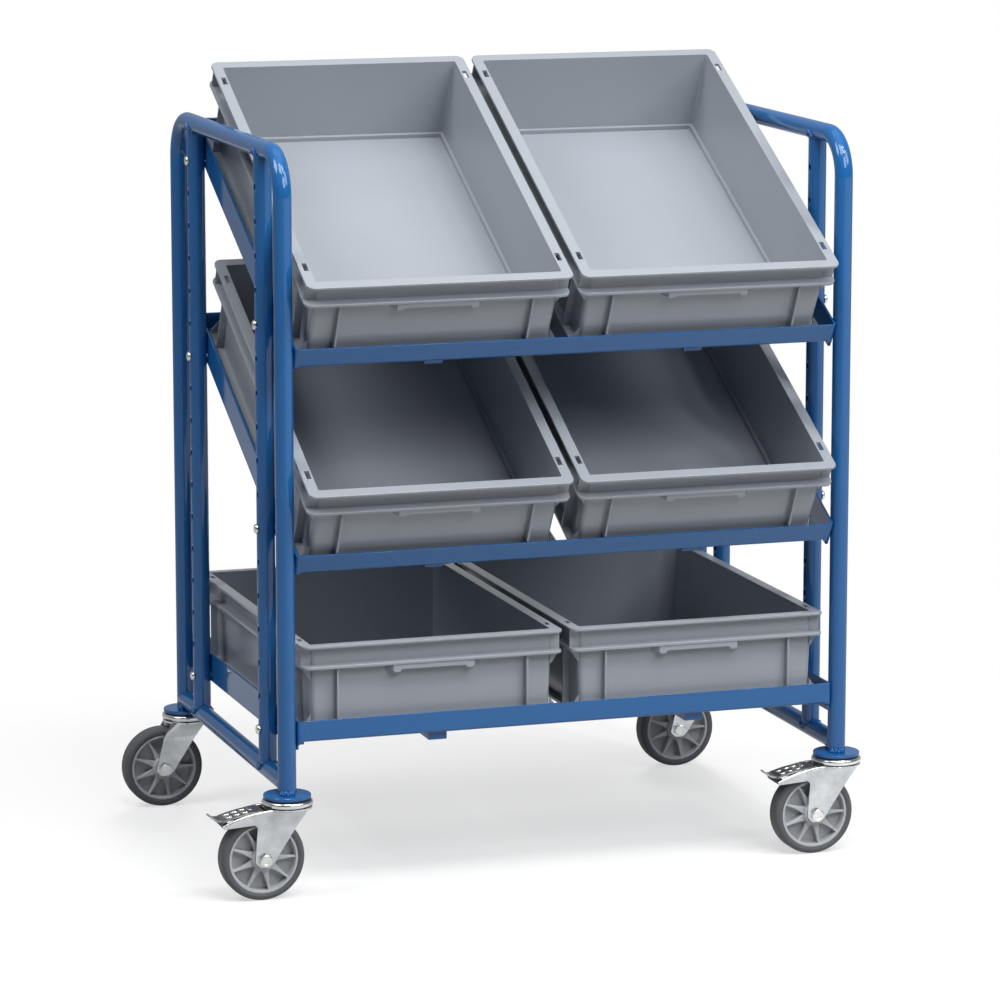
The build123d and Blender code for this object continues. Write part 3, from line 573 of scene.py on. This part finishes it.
def axle_bolt(name, centre, body):
    """A hexagon bolt with its nut, as rings along the axle.

    At a turn v the hexagon's radius is half its width over cos(v - 30 degrees) within each sixth of a turn,
    and a cone from a circle just inside the flats cuts its corners.
    """
    turn = np.linspace(0, 2 * pi, bolt_turns, endpoint=False)
    level = np.zeros(bolt_turns)
    hexagon = nut_width / 2 / np.cos(turn % (pi / 3) - pi / 6)
    top = level + bolt_top_radius
    rod = level + axle_radius
    cut = (hexagon - top) * tan(radians(bolt_chamfer))
    head = -arm_outer - bolt_head_height
    nut = arm_outer + nut_height
    seat = arm_outer + bolt_clearance
    rings = [
        (crown_shares[0] * top, level + head + bolt_crown),
        (crown_shares[1] * top, level + head),
        (top, level + head),
        (hexagon, head + cut),
        (hexagon, level - seat),
        (rod, level - seat),
        (rod, level + seat),
        (hexagon, level + seat),
        (hexagon, nut - cut),
        (top, level + nut),
        (rod, level + nut),
        (rod, level + nut + thread_end - thread_chamfer),
        (thread_share * rod, level + nut + thread_end),
    ]
    radius, along = (np.stack(part) for part in zip(*rings))
    x = centre[0] + radius * np.sin(turn)
    z = centre[2] + radius * np.cos(turn)
    skin = np.stack([x, centre[1] + along, z], axis=-1).reshape(-1, 3)
    poles = np.array(centre) + np.array([[0, head + bolt_crown, 0], [0, nut + thread_end, 0]])
    points = np.concatenate([skin, poles])
    piece = add_mesh(name, points, ring_faces(len(rings), bolt_turns), body, bolt_steel)
    piece.data.set_sharp_from_angle(angle=radians(bolt_sharp))
    return piece


for side, end, side_x, way in corners:
    corner = f"{end}_{side}"
    caster = f"{corner}_caster"
    axis = np.array([side_x, way * leg_y, 0.0])
    bolt = axle_bolt(f"{corner}_axle_bolt", (side_x - trail, way * leg_y, axle_height), caster)
    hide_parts(f"{corner}_axle")
    if end == "rear":
        continue
    for face, face_y in (("near", -horn_middle), ("far", horn_middle)):
        path, out, up = arc_path(face_y, *horn_arc)
        # The horn beads take pale steel: painted highlight along the rolled edges
        edge = bead(
            f"{corner}_{face}_horn_bead", path + axis, out, up, horn_bead_thick, 0.0, caster, pale_steel_and_painted_highlight
        )
    pads = [pad_points((x, y), **tread) for x in tread_places for y in (-tread_offset, tread_offset)]
    pads.append(pad_points(tab_place, **tab))
    faces = repeat_faces(ring_faces(pad_rings, pad_turns), len(pads), len(pads[0]))
    # The treads and tab take pale steel: painted highlight on the raised pads of the dark pedal
    treads = add_mesh(
        f"{corner}_pedal_treads", np.concatenate(pads) + axis, faces, f"{corner}_brake", pale_steel_and_painted_highlight
    )


# Stage: a pale floor that keeps a light shadow near the object and is white beyond it

def seen_rays(tree, mirrored):
    """Return 1 for the camera's rays, a dimmer value in reflections and through glass, and 0 for others."""
    rays = add_node(tree, "ShaderNodeLightPath").outputs
    either = reckon(tree, "MAXIMUM", rays["Is Glossy Ray"], rays["Is Transmission Ray"])
    dimmed = reckon(tree, "MULTIPLY", either, mirrored)
    return reckon(tree, "MAXIMUM", dimmed, rays["Is Camera Ray"])


def make_floor():
    """A square floor. To the camera and in reflections it glows, less so near the trolley.

    In reflections it is brightest in front of the trolley and to its right.
    """
    mesh = bpy.data.meshes.new("floor")
    square = [(-1, -1), (1, -1), (1, 1), (-1, 1)]
    mesh.from_pydata([(floor_reach * x, floor_reach * y, 0) for x, y in square], [], [(0, 1, 2, 3)])
    floor = bpy.data.objects.new("floor", mesh)
    bpy.context.scene.collection.objects.link(floor)
    material, tree, shader = new_material("floor_white")
    mesh.materials.append(material)
    place = object_place(tree)
    axes = split_axes(tree, place)
    far = add_node(tree, "ShaderNodeVectorMath", {0: place}, operation="LENGTH").outputs["Value"]
    glow = ramp(tree, far, floor_span, (floor_glow, 1.0))
    shade = ramp(tree, far, floor_span, (floor_shade, 0.0))
    right = ramp(tree, axes["X"], floor_right_span, (0.0, 1.0))
    front = ramp(tree, axes["Y"], floor_front_span, (0.0, 1.0))
    both = reckon(tree, "MULTIPLY", right, front)
    seen = seen_rays(tree, ramp(tree, both, (0.0, 1.0), floor_gloss, "LINEAR"))
    pale = ramp(tree, seen, (0.0, 1.0), (floor_white, shade), "LINEAR")
    feed(tree, shader.inputs["Base Color"], pale)
    feed(tree, shader.inputs["Roughness"], floor_rough)
    feed(tree, shader.inputs["Specular IOR Level"], 0.0)
    feed(tree, shader.inputs["Emission Color"], (1, 1, 1, 1))
    feed(tree, shader.inputs["Emission Strength"], reckon(tree, "MULTIPLY", glow, seen))


def make_world():
    """A plain world: white to the camera, in reflections a pale backdrop and ceiling, and dark in front."""
    world = bpy.data.worlds.new("studio")
    bpy.context.scene.world = world
    world.use_nodes = True
    tree = world.node_tree
    way = add_node(tree, "ShaderNodeTexCoord").outputs["Generated"]
    axes = split_axes(tree, way)
    ceiling = ramp(tree, axes["Z"], ceiling_span, (gloss_low, gloss_high))
    behind = ramp(tree, axes["Y"], rear_span, (0.0, 1.0))
    mirrored = ramp(tree, behind, (0.0, 1.0), (ceiling, gloss_rear), "LINEAR")
    back = tree.nodes["Background"]
    feed(tree, back.inputs["Color"], (1, 1, 1, 1))
    feed(tree, back.inputs["Strength"], seen_rays(tree, mirrored))


def add_light(name, place, aim, size, power):
    """A rectangular soft light at a place, turned to a point it is aimed at."""
    data = bpy.data.lights.new(name, "AREA")
    data.shape = "RECTANGLE"
    data.size, data.size_y = size
    data.energy = power
    lamp = bpy.data.objects.new(name, data)
    lamp.location = place
    lamp.rotation_euler = (Vector(aim) - Vector(place)).to_track_quat("-Z", "Y").to_euler()
    bpy.context.scene.collection.objects.link(lamp)
    return lamp


def add_camera():
    """The camera at the photograph's viewing angle."""
    data = bpy.data.cameras.new("camera")
    data.lens = camera_lens
    data.sensor_width = camera_sensor
    data.clip_end = camera_reach
    camera = bpy.data.objects.new("camera", data)
    camera.location = camera_place
    camera.rotation_euler = Euler((radians(90 - camera_pitch), 0.0, radians(-camera_heading)), "XYZ")
    bpy.context.scene.collection.objects.link(camera)
    bpy.context.scene.camera = camera


make_floor()
make_world()
for name, place, side, power in lamps:
    softbox = add_light(name, place, lamp_aim, (side, side), power)
    softbox.visible_glossy = name != unmirrored_lamp
for number, (strip_x, width) in enumerate(strips, 1):
    strip_place = (strip_x, strip_y, strip_height)
    add_light(f"tube_strip_{number}", strip_place, strip_aim, (width, strip_length), strip_power * width)
add_camera()
bpy.context.scene.view_settings.view_transform = "Standard"
